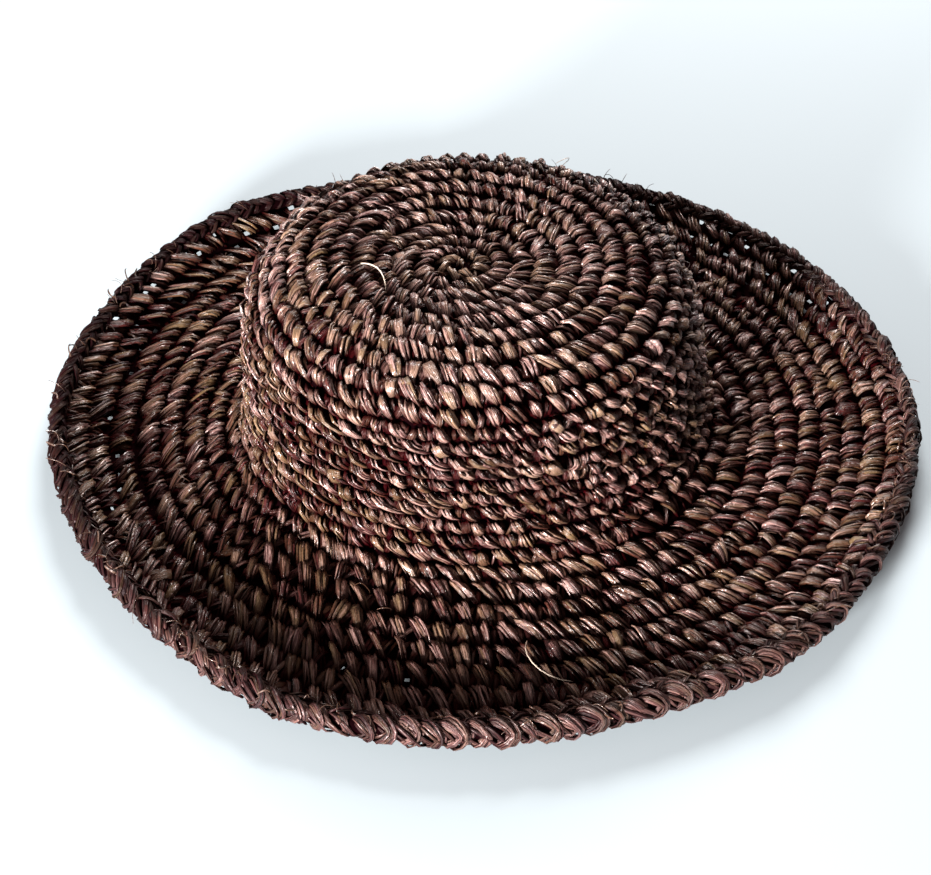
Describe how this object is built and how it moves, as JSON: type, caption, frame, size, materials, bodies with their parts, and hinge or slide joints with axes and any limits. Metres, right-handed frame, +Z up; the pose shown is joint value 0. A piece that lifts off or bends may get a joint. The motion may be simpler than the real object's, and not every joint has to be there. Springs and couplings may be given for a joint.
{
  "type": "straw hat",
  "caption": "Wide-brimmed crocheted raffia sun hat with a sunken tip, an upright crown and a brim turned up at its braided rim.",
  "frame": {"origin": "on the table, under the middle of the hat's outline", "axes": "+Z up out of the table, -Y towards the side that faces the camera, +X towards the picture's right"},
  "size_m": [0.381, 0.3404, 0.1055],
  "materials": {
    "raffia": "crocheted dyed raffia, dark brown, slightly glossy",
    "raffia_edge": "the same raffia as a chain of loops along the rim"
  },
  "bodies": {
    "root": {"crown": "raffia", "brim": "raffia", "brim_edge": "raffia_edge"}
  },
  "joints": []
}
